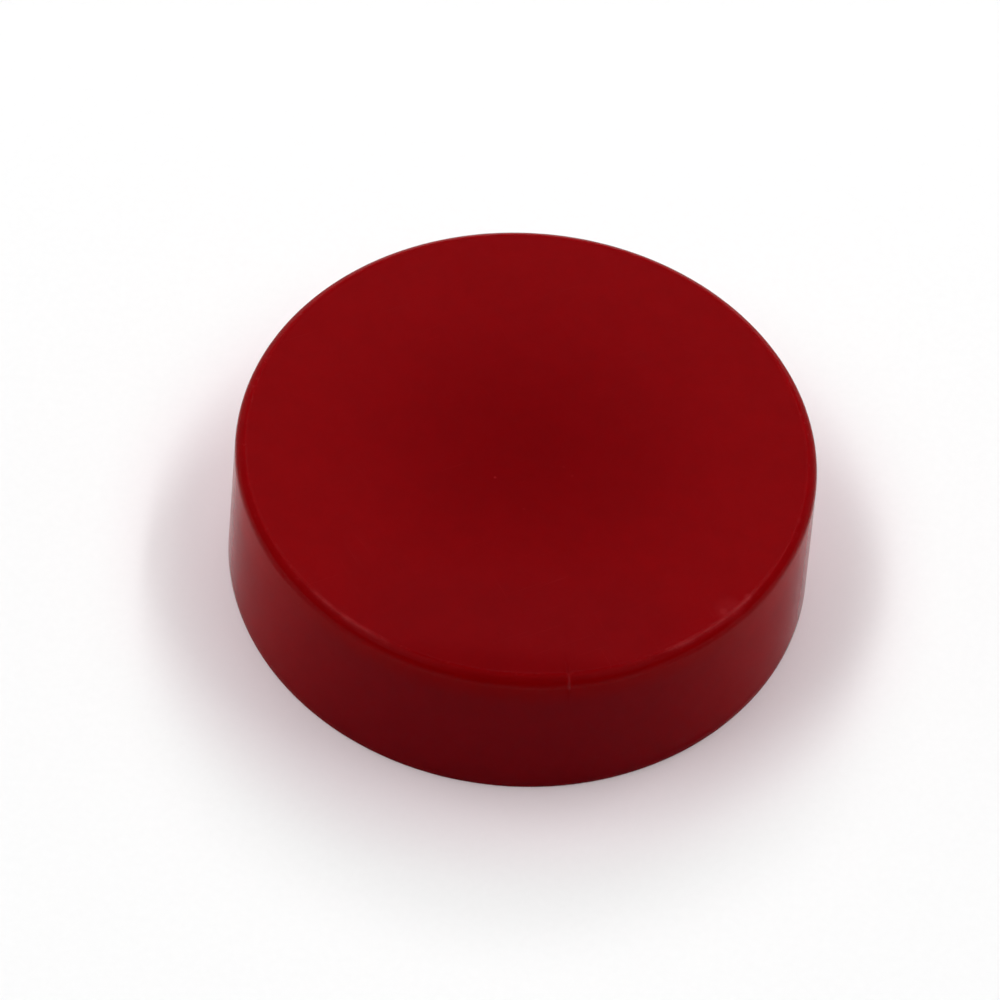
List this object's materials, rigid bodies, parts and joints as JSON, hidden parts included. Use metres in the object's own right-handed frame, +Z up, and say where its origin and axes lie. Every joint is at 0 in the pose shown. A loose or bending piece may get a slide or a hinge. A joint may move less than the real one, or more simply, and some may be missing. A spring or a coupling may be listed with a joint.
{
  "type": "dealer button",
  "caption": "Round weighted dealer button: a closed red puck with a flat blank top, a softly rounded upper edge and a slightly tapered smooth side.",
  "frame": {"origin": "centre of the flat underside, on the surface that the button lies on", "axes": "+Z up, out of the flat top face; the outside is round about Z, and X runs along one locating rib inside"},
  "size_m": [0.0508, 0.0508, 0.0146],
  "materials": {
    "red_plastic": "gloss",
    "steel": "satin",
    "foam": "matte"
  },
  "bodies": {
    "root": {"top_shell": "red_plastic", "base_plate": "red_plastic", "weight_slug": "steel", "foam_pad": "foam"}
  },
  "joints": []
}
